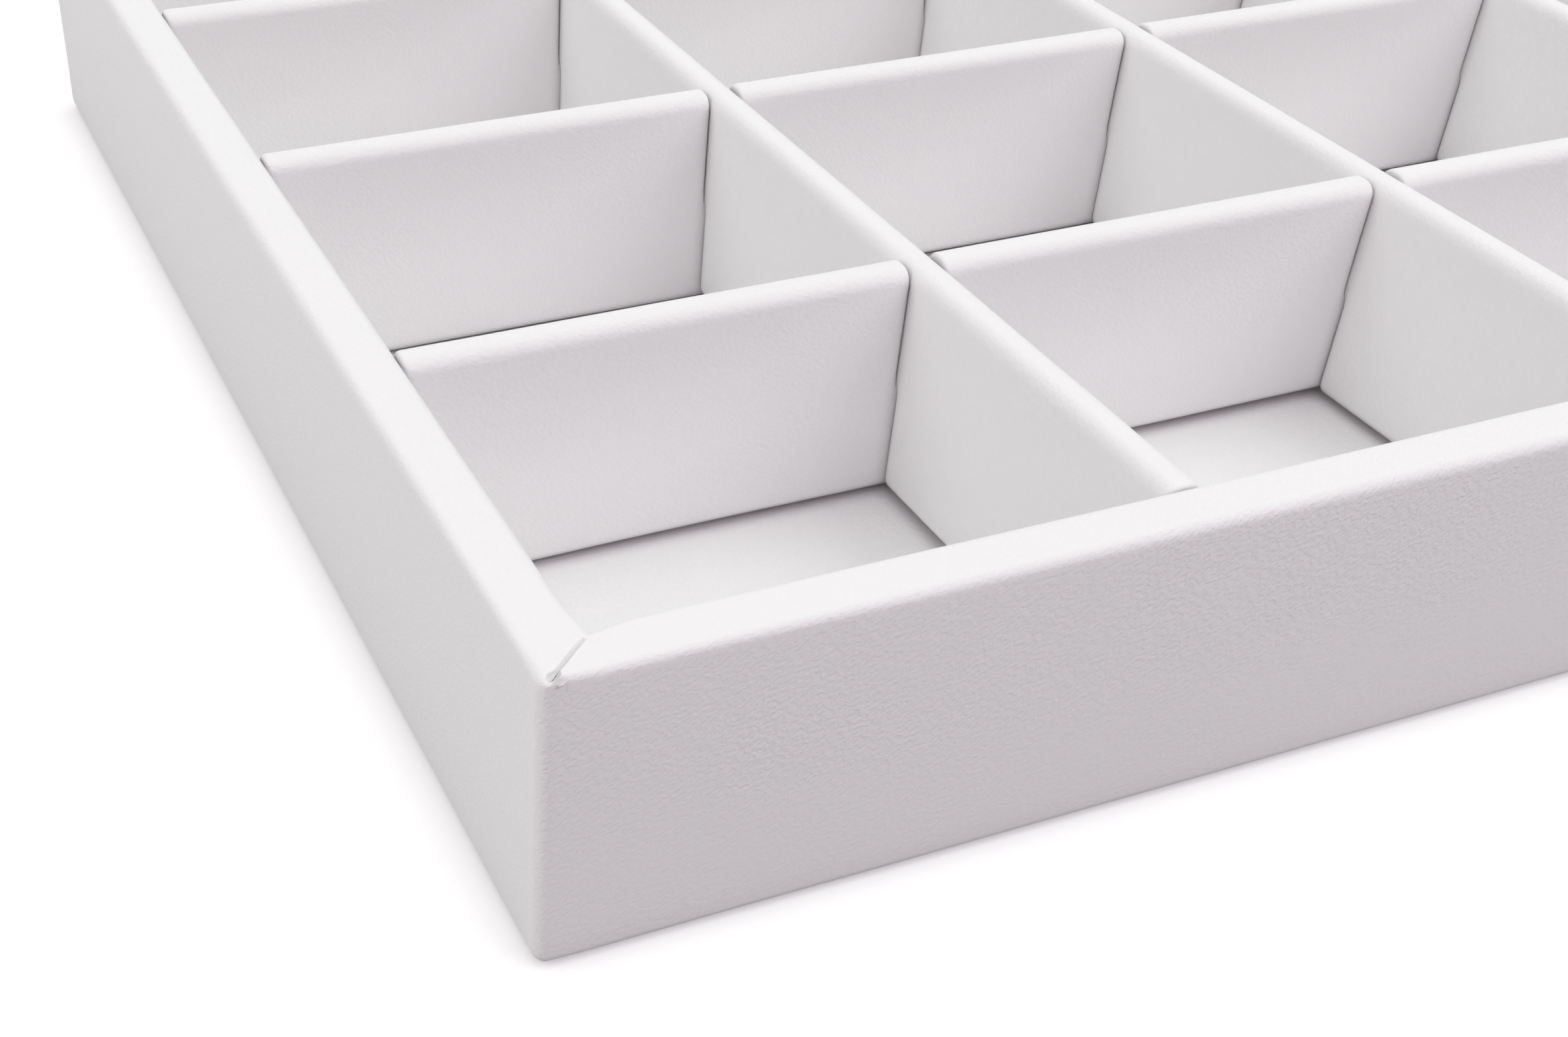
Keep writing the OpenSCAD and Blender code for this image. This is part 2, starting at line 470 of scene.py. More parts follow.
def side_columns(length, inset, radius):
    """Columns of one row of a whole side, with -1 or 1 for the end that each is nearer to."""
    half = half_columns(length, inset, radius)
    count = len(half[0])
    end = np.concatenate([-np.ones(count - 1), np.ones(count)])
    x, y, angle, gap, run = (np.concatenate([v[:0:-1], v]) for v in half)
    return x * end, y, angle * end, gap, run * end, end


def sweep(rows, width, depth, radius, flat_place, shape=None):
    """Four patches of a skin whose section follows a rectangle's sides, joined where their mitres meet."""
    patches = []
    for side in range(4):
        length, across = (width, depth) if side % 2 == 0 else (depth, width)
        spin = np.array(Matrix.Rotation(side * math.pi / 2, 3, "Z"))
        points, flats = [], []
        for row in rows:
            x, y, angle, gap, place, end = side_columns(length, row.inset, radius)
            local = np.stack([x, y - across / 2, np.full(len(x), row.height)], axis=1)
            inward = np.stack([-np.sin(angle), np.cos(angle), 0 * x], axis=1)
            normal = (row.n_in * inward + row.n_up * UP) @ spin.T
            if shape:
                local = local + shape(side, row, gap, end, inward)
            world = local @ spin.T
            lift = np.array([WAVE * wave_of(p, WAVE_LENGTH) for p in world])
            points.append(world + normal * lift[:, None])
            flats.append([flat_place(side, p, row.run) for p in place])
        kinds = np.full((len(rows) - 1, len(points[0]) - 1), COVERED)
        patches.append((np.array(points), np.array(flats), kinds))
    return patches


def wall_rows():
    """The wall cover's section: in from below the base, up the outside, over the rim, down the inside."""
    foot = (FOOT_R, FOOT_Z + FOOT_R)
    outer = (RIM_OUTER_R, RIM_Z - RIM_OUTER_R)
    inner = (RIM_W - RIM_INNER_R, RIM_Z - RIM_INNER_R)
    rows = straight((TURN_IN, FOOT_Z), (FOOT_R, FOOT_Z), UNDER_STEP, (0, -1))
    rows += bend(foot, FOOT_R, -90, -180, FOOT_BENDS)
    rows += straight((0, foot[1]), (0, outer[1]), WALL_STEP, (-1, 0))
    rows += bend(outer, RIM_OUTER_R, 180, 90, RIM_OUTER_BENDS)
    rows += straight((outer[0], RIM_Z), (inner[0], RIM_Z), RIM_STEP, (0, 1))
    rows += bend(inner, RIM_INNER_R, 90, 0, RIM_INNER_BENDS)
    rows += straight((RIM_W, inner[1]), (RIM_W, LINING_FOOT_Z), WALL_STEP, (1, 0))
    return with_run(rows)


def slit_opening(row, corner):
    """How deep the mitre slit is at a section row, from 0 where the leatherette is whole to 1."""
    if row.n_up < 0:
        return 0.0
    inner_end = float(smooth((RIM_W - SLIT_FADE - row.inset) / SLIT_FADE))
    if corner == JOINED_CORNER:
        return inner_end
    return inner_end * float(smooth((row.height - SLIT_START) / SLIT_DEEPENS))


def slit_tip(row):
    """1 on the section row where the slit ends on the rim's outer edge, fading to 0 along the slit."""
    return float(hump(row.inset - TIP_INSET, TIP_FADE)) if row.n_up > 0 else 0.0


def slit_gap(row, corner):
    """Half of the open gap between the two cut edges at a section row."""
    if row.n_up == -1:
        return UNDER_GAP * float(smooth((row.inset - CORNER_R) / UNDER_GAP_FADE))
    if corner == JOINED_CORNER and row.inset < RIM_W - RIM_INNER_R:
        return JOINED_GAP
    return TIP_GAP * slit_tip(row)


def slit_shape(side, row, gap, end, inward):
    """The mitre slit's groove with its lips and raised tip, and the gap between its cut edges."""
    before, after = (side - 1) % 4, side
    over = end < 0
    opening = np.where(over, slit_opening(row, before), slit_opening(row, after))
    half_gap = np.where(over, slit_gap(row, before), slit_gap(row, after))
    ragged = noise.noise(Vector((row.inset + row.height, side, 0)) / GROOVE_JAGS)
    half_w = GROOVE_HALF_W * np.where(over, 1 + OVER_RAGGED * ragged, 1 + UNDER_RAGGED * ragged)
    beside = smooth((gap - half_w) / GROOVE_EDGE)
    groove = (GROOVE_DEPTH + TIP_DEPTH * slit_tip(row)) * (1 - beside)
    lip = SLIT_LIP * hump(gap - half_w - GROOVE_EDGE, SLIT_LIP_REACH)
    tip = slit_tip(row) * TIP_LIP * hump(gap, TIP_LIP_REACH) * beside
    raised = lip + np.where(over, tip, -TIP_SINK * tip) - groove
    move = (row.n_in * inward + row.n_up * UP) * (raised * opening)[:, None]
    move[:, 0] -= end * half_gap * hump(gap, GAP_REACH)
    return move


def slit_shift(row, gap, end):
    """Draws the columns near the mitre aside, so that the slit runs in a curve beside the diagonal."""
    across = (row.inset / RIM_W) ** SLIT_CURVE
    aside = SLIT_SHIFT_OUTSIDE + (SLIT_SHIFT_INSIDE - SLIT_SHIFT_OUTSIDE) * across
    shift = row.n_up * aside * hump(gap, SLIT_SHIFT_REACH) / math.sqrt(2)
    return np.stack([shift, end * shift, 0 * shift], axis=1)


def rim_shape(row, gap, inward):
    """Draws the rim's outer edge tighter near the tray's corners."""
    tighten = RIM_TIGHTEN * hump(gap, RIM_TIGHT_REACH)
    outward = -inward * (tighten * (1 + row.n_in))[:, None]
    return outward + UP * (tighten * (1 - row.n_up))[:, None]


def foot_shape(row, gap, end, inward):
    """Fuller rounding at the foot's corners, between which the edges lift a little off the table."""
    above = row.height - FOOT_Z
    if above >= FOOT_FADE or row.inset > TURN_IN or row.n_up > 0 or row.n_in > 0:
        return 0.0
    under = smooth(1 - (row.inset - FOOT_R) / (TURN_IN - FOOT_R))
    fade = float(under * smooth(1 - above / FOOT_FADE))
    full = FOOT_FULLNESS * hump(gap, FOOT_FULL_REACH) * fade
    lift = FOOT_LIFT * (1 - hump(gap, FOOT_LIFT_REACH)) * fade
    drawn_in = full * (1 + row.n_in)
    move = inward * drawn_in[:, None] + UP * (full * (1 + row.n_up) + lift)[:, None]
    if row.inset >= CORNER_R:
        move[:, 0] -= end * drawn_in
    return move


def wall_shape(side, row, gap, end, inward):
    """Moves off the wall cover's plain section: the mitre slits, the tighter rim and the fuller foot."""
    move = slit_shape(side, row, gap, end, inward)
    if row.n_up > 0:
        move = move + slit_shift(row, gap, end)
    if row.n_in < 0 < row.n_up:
        move = move + rim_shape(row, gap, inward)
    return move + foot_shape(row, gap, end, inward)


def bare_slits(patches, rows):
    """Marks the faces of the bare band that shows between the cut edges of the mitre slits."""
    for side, (_, _, kinds) in enumerate(patches):
        for i, row in enumerate(rows[:-1]):
            if row.n_up > 0 and slit_opening(row, (side - 1) % 4) > SLIT_OPEN:
                kinds[i, :BAND_COLUMNS] = BARE
            if row.n_up > 0 and slit_opening(row, side) > SLIT_OPEN:
                kinds[i, -BAND_COLUMNS:] = BARE
    return patches


def strip_place(side, place, run):
    """Place on the flat strip that goes round the four sides."""
    lengths = [TRAY_W, TRAY_D, TRAY_W, TRAY_D]
    turn = CORNER_R * (math.pi / 2 - 2)
    start = sum(lengths[:side]) + side * turn + lengths[side] / 2
    return (start + place, run)


def wall_leatherette():
    """The strip of leatherette that covers the four walls."""
    rows = wall_rows()
    patches = bare_slits(sweep(rows, TRAY_W, TRAY_D, CORNER_R, strip_place, wall_shape), rows)
    piece = leather_piece("wall_leatherette", patches)
    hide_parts("wall_cover")
    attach(piece, "tray")


def pad_rows():
    """The floor lining's section: turned in under the card, up its edge and across its top."""
    low, high = PAD_LOW.z, PAD_HIGH.z
    lower, upper = (PAD_EDGE_R, low + PAD_EDGE_R), (PAD_EDGE_R, high - PAD_EDGE_R)
    rows = straight((PAD_TURN_IN, low), (PAD_EDGE_R, low), PAD_UNDER_STEP, (0, -1))
    rows += bend(lower, PAD_EDGE_R, -90, -180, PAD_LOWER_BENDS)
    rows += straight((0, lower[1]), (0, upper[1]), PAD_EDGE_STEP, (-1, 0))
    rows += bend(upper, PAD_EDGE_R, 180, 90, PAD_UPPER_BENDS)
    rows += straight((PAD_EDGE_R, high), (min(PAD_W, PAD_D) / 2, high), PAD_STEP, (0, 1))
    return with_run(rows)


def floor_leatherette():
    """Leatherette over the floor card, turned in under its four edges."""
    rows = pad_rows()
    top_run = next(row.run for row in rows if row.n_up == 1)

    def flat_place(side, place, run):
        across = PAD_D if side % 2 == 0 else PAD_W
        spot = Vector((place, run - top_run + PAD_EDGE_R - across / 2))
        spun = Matrix.Rotation(side * math.pi / 2, 2) @ spot
        return (spun.x, spun.y + FLOOR_CUT)

    piece = leather_piece("floor_leatherette", sweep(rows, PAD_W, PAD_D, PAD_CORNER_R, flat_place))
    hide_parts("floor_lining")
    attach(piece, "tray")


def divider_bend(y, z, r, first, last, steps):
    """Divider rows on an arc between two angles, without its two ends, which straight stretches hold."""
    angles = np.radians(np.linspace(first, last, steps + 1)[1:-1])
    return [DividerRow(y, z, math.cos(a), math.sin(a), r) for a in angles]


def divider_rows(divider):
    """Closed section of a covered divider from its seam below, round and back."""
    top_r, foot_r = DIVIDER_EDGE_R, DIVIDER_FOOT_R
    top, foot = divider.thick / 2 - top_r, divider.thick / 2 - foot_r
    shoulder = divider.tall - top_r
    below_lap = spaced(foot_r, divider.lap, DIVIDER_STEP)
    above_lap = spaced(divider.lap, shoulder, DIVIDER_STEP)[1:]
    rows = [DividerRow(y, foot_r, 0, -1, foot_r) for y in spaced(0, foot, DIVIDER_FLAT_STEP)]
    rows += divider_bend(foot, foot_r, foot_r, -90, 0, DIVIDER_FOOT_BENDS)
    rows += [DividerRow(top, z, 1, 0, top_r) for z in (*below_lap, *above_lap)]
    rows += divider_bend(top, shoulder, top_r, 0, 90, DIVIDER_TOP_BENDS)
    rows += [DividerRow(y, shoulder, 0, 1, top_r) for y in spaced(top, 0, DIVIDER_FLAT_STEP)]
    rows += [row._replace(y=-row.y, n_y=-row.n_y) for row in rows[-2::-1]]
    return with_run(rows)


def divider_columns(divider):
    """Columns along a covered divider, closest near its slots, and round its two ends."""
    body, half_slot = divider.length / 2 - DIVIDER_END_R, divider.half_slot
    edges = sorted(s + side * half_slot for s in divider.slots for side in (-1, 1))
    places = set()
    for start, end in zip([-body, *edges], [*edges, body]):
        along = np.linspace(0, 1, max(2, round((end - start) / DIVIDER_COLUMN_STEP)) + 1)
        eased = (along + (1 - np.cos(math.pi * along)) / 2) / 2
        places |= {round(start + (end - start) * t, PLACE_DIGITS) for t in eased}
    for away in SLOT_EDGE_R * (1 - np.sin(np.radians(SLOT_EDGE_TURNS))):
        beside = half_slot + away
        places |= {round(s + side * beside, PLACE_DIGITS) for s in divider.slots for side in (-1, 1)}
    turns = np.radians(np.linspace(0, 90, DIVIDER_END_BENDS + 1)[1:])
    cap = [Column(body + DIVIDER_END_R * math.sin(turn), turn) for turn in turns]
    cap += [Column(divider.length / 2, math.pi / 2, share) for share in DIVIDER_END_SHARES]
    mirrored = [column._replace(x=-column.x) for column in cap[::-1]]
    return mirrored + [Column(x) for x in sorted(places)] + cap


def slot_tuck(divider, x, height):
    """How far the leatherette is drawn in at the rounded edges of a half lap."""
    into = max(SLOT_EDGE_R - divider.edge_away(x), 0)
    rounded = SLOT_EDGE_R - math.sqrt(SLOT_EDGE_R ** 2 - into ** 2)
    return rounded * float(smooth(divider.open_height(height) / SLOT_EDGE_FADE))


def divider_settle(divider, spot):
    """Small rises and falls of a divider's skin: a wavy top and a foot that stands off the floor."""
    x, _, z = spot
    seed = divider.seed[2]
    share = z / divider.tall
    near_top = float(smooth((share - TOP_SHARE) / (1 - TOP_SHARE)))
    near_foot = float(smooth((FOOT_SHARE - share) / FOOT_SHARE))
    drop = TOP_DROP * noise.noise(Vector((x / TOP_DROP_LENGTH, 0, seed))) * near_top
    uneven = RISE_MEAN + RISE_SPREAD * noise.noise(Vector((x / RISE_LENGTH, RISE_LANE, seed)))
    standing = 1 - float(hump(divider.length / 2 - abs(x), RISE_END_REACH))
    return drop + DIVIDER_RISE / divider.index * uneven * standing * near_foot


def divider_point(divider, row, column):
    """The point of a divider's skin where a section row meets a column."""
    half = divider.thick / 2
    middle_z = min(max(row.z, half), divider.tall - half)
    left = 1 - column.share
    level = math.cos(column.turn)
    core_y, core_z = row.y * left, row.z + (middle_z - row.z) * column.share
    reach = (row.r - DIVIDER_END_R * (1 - level)) * left
    spot = np.array([column.x, core_y + reach * row.n_y, core_z + reach * row.n_z])
    endways = math.copysign(math.sin(column.turn), column.x)
    facing = np.array([endways, row.n_y * level, row.n_z * level])
    wave = WAVE * wave_of(spot + divider.seed, WAVE_LENGTH)
    spot = spot + facing * (wave - slot_tuck(divider, column.x, spot[2])) * left
    spot[2] += divider_settle(divider, spot)
    return divider.spin @ spot + divider.centre


def divider_patch(divider, rows, columns, kinds, into=0):
    """Grid of a divider's skin, its places on the flat sheet and its faces' kinds, facing outwards."""
    points = [[divider_point(divider, row, column) for column in columns] for row in rows]
    start = divider.index * DIVIDER_CUT_STEP
    sheet_x = [start + column.x + into * column.share * divider.thick / 2 for column in columns]
    flats = [[(x, row.run + DIVIDER_CUT) for x in sheet_x] for row in rows]
    return np.array(points)[:, ::-1], np.array(flats)[:, ::-1], kinds[:, ::-1]


def slot_linings(divider, rows):
    """Patches of leatherette turned in over the board on both edges of each half lap."""
    notch = [i for i, row in enumerate(rows) if divider.open_height(row.point()[1]) > -TOUCHING]
    patches = []
    for part in np.split(notch, np.flatnonzero(np.diff(notch) > 1) + 1):
        part_rows = [rows[i] for i in part]
        for slot in divider.slots:
            for into in (1, -1):
                edge = round(slot - into * divider.half_slot, PLACE_DIGITS)
                columns = [Column(edge, share=share) for share in LINING_SHARES][::into]
                kinds = np.full((len(part) - 1, len(columns) - 1), LINING)
                patches.append(divider_patch(divider, part_rows, columns, kinds, into))
    return patches


def divider_kinds(divider, rows, columns):
    """Kinds of the faces of a divider's skin, cut out at its half laps."""
    kinds = np.full((len(rows) - 1, len(columns) - 1), COVERED)
    for j, (left, right) in enumerate(zip(columns, columns[1:])):
        middle = (left.x + right.x) / 2
        if min(abs(middle - s) for s in divider.slots) > divider.half_slot:
            continue
        for i, (lower, upper) in enumerate(zip(rows, rows[1:])):
            if divider.open_height((lower.point()[1] + upper.point()[1]) / 2) > 0:
                kinds[i, j] = CUT_OUT
    return kinds


def divider_of(kind, index, slots):
    """Sizes and place of a divider, from its cover's box. Rows have their slots on top, columns below."""
    low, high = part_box(f"{kind}_divider_{index}_cover")
    is_row = kind == "row"
    width, depth = high.x - low.x, high.y - low.y
    return Divider(
        index=index,
        length=(width if is_row else depth) + 2 * END_REACH,
        thick=depth if is_row else width,
        tall=RIM_Z - TOP_BELOW_RIM - low.z,
        lap=LAP_Z - low.z,
        slots=slots,
        notch_on_top=is_row,
        spin=np.array(Matrix.Rotation(0 if is_row else math.pi / 2, 3, "Z")),
        centre=np.array([(low.x + high.x) / 2, (low.y + high.y) / 2, low.z]),
        seed=np.array([0, 0, DIVIDER_SEED_STEP * index + (0 if is_row else COLUMN_SEED)]),
    )


def divider_leatherette(kind, index, slots):
    """The leatherette wrapped round one divider, turned in at its half laps."""
    divider = divider_of(kind, index, slots)
    rows, columns = divider_rows(divider), divider_columns(divider)
    skin = divider_patch(divider, rows, columns, divider_kinds(divider, rows, columns))
    piece = leather_piece(f"{kind}_{index}_leatherette", [skin, *slot_linings(divider, rows)])
    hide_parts(f"{kind}_divider_{index}_cover")
    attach(piece, "row_grid" if kind == "row" else f"column_divider_{index}")


def felt_sheet():
    """The felt under the base, a cut sheet with a slightly uneven face."""
    xs = spaced(FELT_LOW.x, FELT_HIGH.x, FELT_STEP)
    ys = spaced(FELT_LOW.y, FELT_HIGH.y, FELT_STEP)
    flats = np.array([[(x, y) for y in ys] for x in xs])
    waves = [[1 + wave_of((x, y, 0), FELT_WAVE_LENGTH) for y in ys] for x in xs]
    heights = FELT_LOW.z + np.maximum(FELT_WAVE * np.array(waves), 0)
    points = np.concatenate([flats, heights[:, :, None]], axis=2)
    kinds = np.full((len(xs) - 1, len(ys) - 1), COVERED)
    thickness = FELT_HIGH.z - FELT_LOW.z - FELT_CLEARANCE
    piece = skin_piece("felt_sheet", [(points, flats, kinds)], thickness, FELT, FELT)
    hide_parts("underside_felt")
    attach(piece, "tray")


class Graph:
    """Short way to write a node tree."""

    def __init__(self, tree):
        self.tree = tree
        tree.nodes.clear()

    def node(self, kind, values=None, **settings):
        """A new node, whose values are constants or the sockets that they come from."""
        made = self.tree.nodes.new("ShaderNode" + kind)
        for key, value in settings.items():
            setattr(made, key, value)
        for key, value in (values or {}).items():
            if isinstance(value, bpy.types.NodeSocket):
                self.tree.links.new(value, made.inputs[key])
            else:
                made.inputs[key].default_value = value
        return made

    def math(self, operation, first, second):
        """One step of arithmetic."""
        return self.node("Math", {0: first, 1: second}, operation=operation).outputs[0]

    def ramp(self, value, span, onto):
        """A value brought smoothly from one span onto another."""
        values = {"Value": value, "From Min": span[0], "From Max": span[1]}
        values |= {"To Min": onto[0], "To Max": onto[1]}
        return self.node("MapRange", values, interpolation_type="SMOOTHSTEP").outputs[0]

    def mix(self, share, first, second):
        """A colour between two others."""
        return self.node("Mix", {0: share, 6: first, 7: second}, data_type="RGBA").outputs[2]

    def noise(self, place, scale, detail, dimensions="2D", **others):
        """Value and colour of a noise texture."""
        values = {"Vector": place, "Scale": scale, "Detail": detail, **others}
        return self.node("TexNoise", values, noise_dimensions=dimensions).outputs

    def bump(self, height, strength, distance):
        """Normals of a surface with small heights on it."""
        return self.node("Bump", {"Height": height, "Strength": strength, "Distance": distance}).outputs[0]


def material(name):
    """A new material and the graph of its nodes."""
    made = bpy.data.materials.new(name)
    made.use_nodes = True
    return made, Graph(made.node_tree)


def surface(graph, color, roughness, normal, **constants):
    """Principled surface from linked colour, roughness and normal, with constants on its own sockets."""
    values = {"Base Color": color, "Roughness": roughness, "Normal": normal}
    values |= {key.replace("_", " "): value for key, value in constants.items()}
    shader = graph.node("BsdfPrincipled", values)
    graph.node("OutputMaterial", {"Surface": shader.outputs[0]})


def grain_strength(g, sheet):
    """Depth of the grain over the sheet: fullest on the front wall's upper half, and a little patchy."""
    strip = g.node("SeparateXYZ", {0: sheet}).outputs
    rim_at = TURN_IN + RIM_Z - FOOT_Z - RIM_OUTER_R
    from_here, to_here = (rim_at - below for below in DEEP_GRAIN_BELOW_RIM)
    on_front = g.ramp(strip[0], (TRAY_W - DEEP_GRAIN_EDGE, TRAY_W + DEEP_GRAIN_EDGE), (1, 0))
    below_rim = g.ramp(strip[1], (rim_at - DEEP_GRAIN_EDGE, rim_at + DEEP_GRAIN_EDGE / 2), (1, 0))
    upper_half = g.math("MULTIPLY", g.ramp(strip[1], (from_here, to_here), (0, 1)), below_rim)
    deep = g.ramp(g.math("MULTIPLY", on_front, upper_half), (0, 1), (SHALLOW_GRAIN, 1))
    patch = g.noise(sheet, scale=22, detail=2)[0]
    return g.math("MULTIPLY", deep, g.ramp(patch, (0.35, 0.65), (0.7, 1)))


def leatherette():
    """White leatherette with a fine slanting pebble grain and painted shade in its creases."""
    made, g = material("white_leatherette")
    sheet = g.node("UVMap", uv_map="sheet").outputs[0]
    placing = {"Vector": sheet, "Rotation": (0, 0, GRAIN_SLANT), "Scale": GRAIN_CELL}
    cells = g.node("Mapping", placing, vector_type="TEXTURE").outputs[0]
    pebble = g.ramp(g.noise(cells, scale=1, detail=1, Distortion=0.2)[0], (0.26, 0.7), (0, 1))
    fine = g.noise(sheet, scale=2600, detail=2)[0]
    strength = grain_strength(g, sheet)
    height = g.math("ADD", g.math("MULTIPLY", pebble, strength), g.math("MULTIPLY", fine, FINE_GRAIN))
    normal = g.bump(height, strength=1, distance=GRAIN_DEPTH)
    hollow = g.math("SUBTRACT", 1, pebble)
    shade = g.math("MULTIPLY", hollow, g.math("MULTIPLY", strength, GRAIN_SHADE))
    grained = g.mix(shade, WHITE_LEATHERETTE, GRAIN_COLOR)
    # Painted shade: the colour greys towards a purple-grey where ambient occlusion finds the surface closed
    # in, at creases, joints and the foot
    openness = g.node("AmbientOcclusion", {"Distance": CREASE_REACH}, samples=8).outputs["AO"]
    color = g.mix(g.ramp(openness, CREASE_OPENNESS, (PAINTED_SHADE_SHARE, 0)), grained, PAINTED_SHADE_COLOR)
    surface(g, color, g.ramp(fine, (0.3, 0.7), (0.46, 0.6)), normal, Specular_IOR_Level=0.2)
    return made


def backing():
    """Off-white woven backing of the leatherette, seen on its cut edges."""
    made, g = material("leatherette_backing")
    place = g.node("TexCoord").outputs["Object"]
    fibre = g.noise(place, scale=3000, detail=3, dimensions="3D")[0]
    normal = g.bump(fibre, strength=0.5, distance=0.05 * MM)
    color = g.mix(fibre, *BACKING_COLORS)
    surface(g, color, g.ramp(fibre, (0.3, 0.7), (0.75, 0.95)), normal)
    return made


def fibreboard(name, colors, fleck_scale):
    """Pressed board with fine flecks, in two shades."""
    made, g = material(name)
    place = g.node("TexCoord").outputs["Object"]
    fleck = g.noise(place, scale=fleck_scale, detail=4, dimensions="3D", Roughness=0.7)[0]
    broad = g.noise(place, scale=60, detail=2, dimensions="3D")[0]
    tone = g.math("ADD", g.math("MULTIPLY", fleck, 0.75), g.math("MULTIPLY", broad, 0.25))
    color = g.mix(g.ramp(tone, (0.35, 0.65), (0, 1)), *colors)
    normal = g.bump(fleck, strength=0.4, distance=0.08 * MM)
    surface(g, color, g.ramp(fleck, (0.3, 0.7), (0.7, 0.9)), normal)
    return made


def felt():
    """Pale grey pressed felt with short tangled fibres."""
    made, g = material("pressed_felt")
    place = g.node("UVMap", uv_map="sheet").outputs[0]
    stir = g.noise(place, scale=350, detail=3)["Color"]
    strands = g.node("VectorMath", {0: stir, 1: (12 * MM, 12 * MM, 0)}, operation="MULTIPLY").outputs[0]
    bent = g.node("VectorMath", {0: place, 1: strands}, operation="ADD").outputs[0]
    fibre = g.noise(bent, scale=1300, detail=4)[0]
    cloud = g.noise(place, scale=90, detail=3)[0]
    tone = g.math("ADD", g.math("MULTIPLY", fibre, 0.7), g.math("MULTIPLY", cloud, 0.3))
    color = g.mix(g.ramp(tone, (0.35, 0.65), (0, 1)), *FELT_COLORS)
    normal = g.bump(tone, strength=0.8, distance=0.25 * MM)
    roughness = g.ramp(fibre, (0.3, 0.7), (0.85, 1))
    surface(g, color, roughness, normal, Sheen_Weight=0.3, Sheen_Roughness=0.5)
    return made


def seen_directly(g):
    """1 on rays from the camera or from gloss and glass, 0 on rays that carry soft light."""
    path = g.node("LightPath").outputs
    mirrored = g.math("MAXIMUM", path["Is Glossy Ray"], path["Is Transmission Ray"])
    return g.math("MAXIMUM", path["Is Camera Ray"], mirrored)


def stage_material():
    """Pale matte floor that shows white to the camera, with the lamps' real shadow and a painted soft shadow
    round the tray's foot.
    """
    made, g = material("stage_floor")
    matte = g.node("BsdfDiffuse", {"Color": STAGE_COLOR}).outputs[0]
    # Painted shadow: the glow that the camera sees dims where ambient occlusion finds the tray close by
    open_sky = g.node("AmbientOcclusion", {"Distance": SHADOW_REACH}, samples=16).outputs["AO"]
    near = g.math("ADD", g.math("MULTIPLY", open_sky, SHADOW_DEPTH), FLOOR_GLOW)
    place = g.node("TexCoord").outputs["Object"]
    away = g.node("VectorMath", {0: place}, operation="LENGTH").outputs["Value"]
    glow = g.math("ADD", near, g.ramp(away, LIT_REACH, (0, 1 - SHADOW_DEPTH - FLOOR_GLOW)))
    strength = g.math("MULTIPLY", seen_directly(g), glow)
    lift = g.node("Emission", {"Color": STAGE_GLOW_COLOR, "Strength": strength}).outputs[0]
    both = g.node("AddShader", {0: matte, 1: lift}).outputs[0]
    g.node("OutputMaterial", {"Surface": both})
    return made


def stage_floor():
    """A wide plain floor under the tray."""
    corners = [(-1, -1), (1, -1), (1, 1), (-1, 1)]
    mesh = bpy.data.meshes.new("stage_floor")
    mesh.from_pydata([(STAGE_HALF * x, STAGE_HALF * y, 0) for x, y in corners], [], [(0, 1, 2, 3)])
    mesh.materials.append(stage_material())
    floor = bpy.data.objects.new("stage_floor", mesh)
    bpy.context.scene.collection.objects.link(floor)


def world():
    """White surroundings for the camera and for gloss; the soft light comes from the lamps."""
    made = bpy.data.worlds.new("studio")
    bpy.context.scene.world = made
    made.use_nodes = True
    g = Graph(made.node_tree)
    white = g.node("Background", {"Color": (1, 1, 1, 1), "Strength": seen_directly(g)}).outputs[0]
    g.node("OutputWorld", {"Surface": white})


def area_light(name, place, size, power, color):
    """A square soft light that faces the middle of the tray."""
    lamp = bpy.data.lights.new(name, "AREA")
    lamp.shape = "SQUARE"
    lamp.size = size
    lamp.energy = power
    lamp.color = color
    holder = bpy.data.objects.new(name, lamp)
    holder.location = place
    holder.rotation_euler = (-Vector(place)).to_track_quat("-Z", "Y").to_euler()
    bpy.context.scene.collection.objects.link(holder)


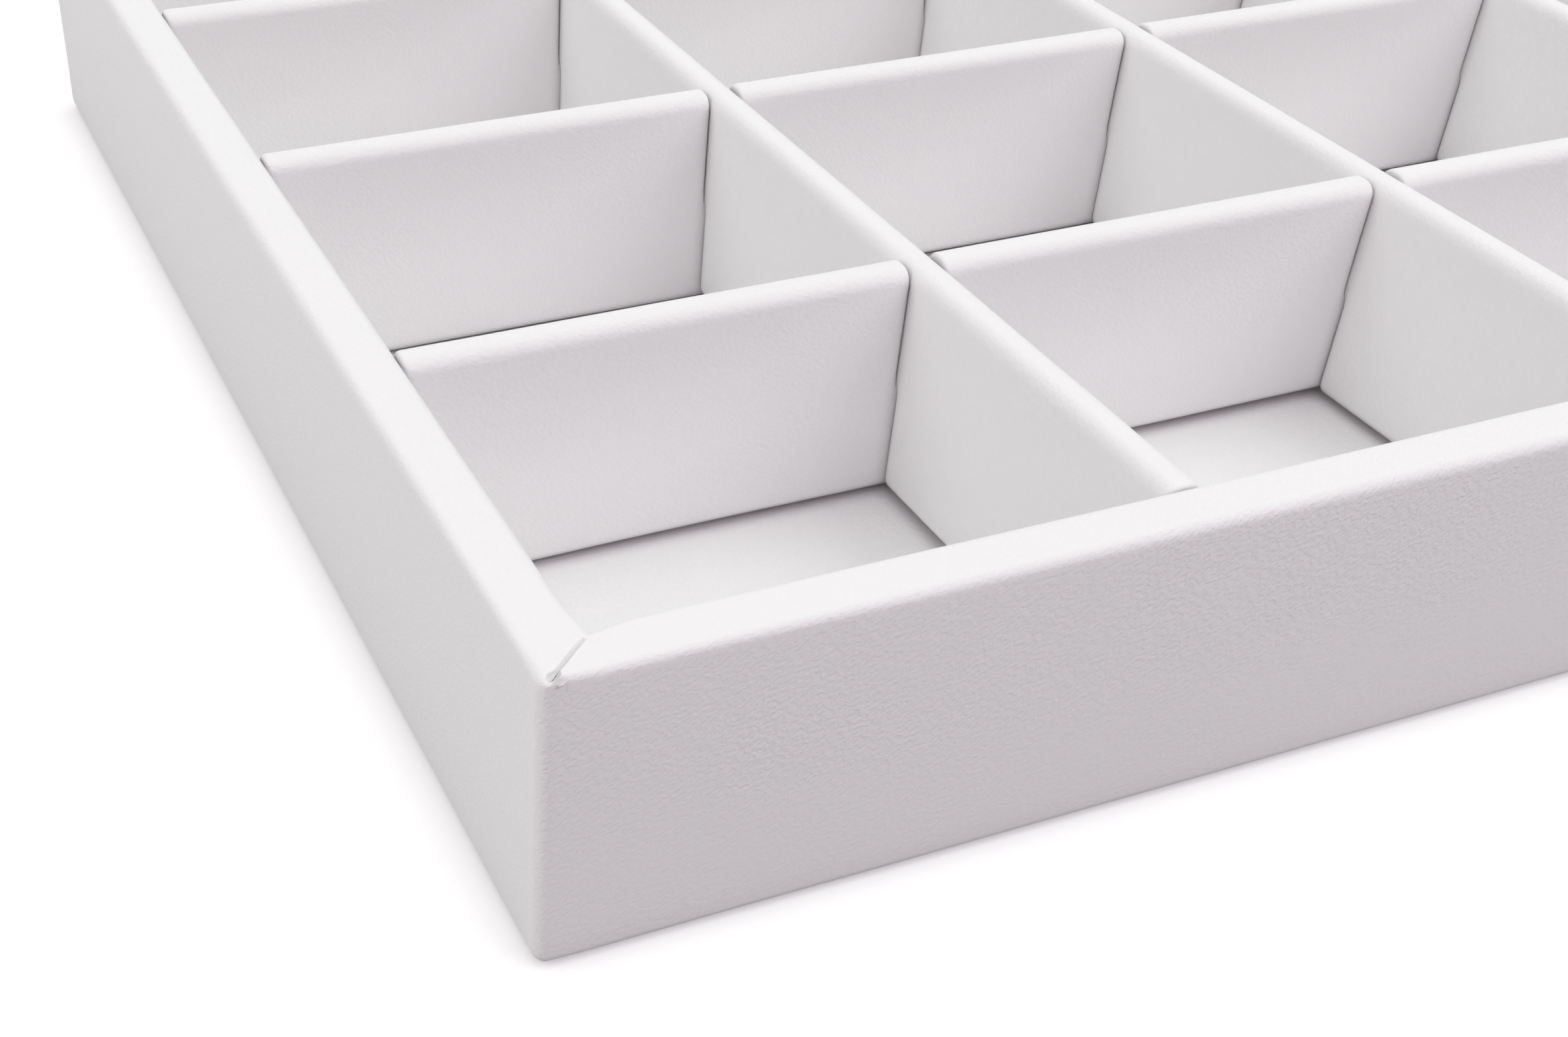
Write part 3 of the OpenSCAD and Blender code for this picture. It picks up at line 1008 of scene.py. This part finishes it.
def camera():
    """The camera at the photograph's place, angle and framing."""
    lens = bpy.data.cameras.new("camera")
    lens.sensor_width = CAMERA_SENSOR
    lens.lens = CAMERA_LENS
    lens.shift_x, lens.shift_y = CAMERA_SHIFT
    lens.clip_start = CAMERA_NEAREST
    holder = bpy.data.objects.new("camera", lens)
    near_corner = Vector((WALL_LOW.x, WALL_LOW.y, 0))
    turned = Matrix.Rotation(-CAMERA_AZIMUTH, 4, "Z")
    raised = Matrix.Rotation(math.pi / 2 - CAMERA_ELEVATION, 4, "X")
    rolled = Matrix.Rotation(CAMERA_ROLL, 4, "Z")
    eye = Matrix.Translation(near_corner + CAMERA_FROM_NEAR_CORNER)
    holder.matrix_world = eye @ turned @ raised @ rolled
    bpy.context.scene.collection.objects.link(holder)
    bpy.context.scene.camera = holder


def dress(nodes, made):
    """Puts one material on CAD nodes that stay in view."""
    for name in nodes:
        for slot in frame["nodes"][name].material_slots:
            slot.material = made


def middles(kind, axis):
    """Middles of the dividers of one kind along an axis, from the boxes of their covers."""
    boxes = [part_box(f"{kind}_divider_{i}_cover") for i in DIVIDER_NUMBERS]
    return [(low[axis] + high[axis]) / 2 for low, high in boxes]


LEATHERETTE = leatherette()
BACKING = backing()
FELT = felt()
WOOD_BOARD = fibreboard("raw_fibreboard", WOOD_COLORS, fleck_scale=900)
GREY_BOARD = fibreboard("grey_board", GREY_BOARD_COLORS, fleck_scale=1300)

bpy.context.scene.view_settings.view_transform = "Standard"
camera()
world()
stage_floor()
for lamp in LAMPS:
    area_light(*lamp)

wall_leatherette()
floor_leatherette()
column_xs, row_ys = middles("column", 0), middles("row", 1)
for i in DIVIDER_NUMBERS:
    divider_leatherette("row", i, column_xs)
    divider_leatherette("column", i, row_ys)
felt_sheet()

dress(["front_rail", "right_rail", "rear_rail", "left_rail", "base_board"], WOOD_BOARD)
boards = [f"{kind}_divider_{i}_board" for kind in ("row", "column") for i in DIVIDER_NUMBERS]
dress(["floor_card", *boards], GREY_BOARD)
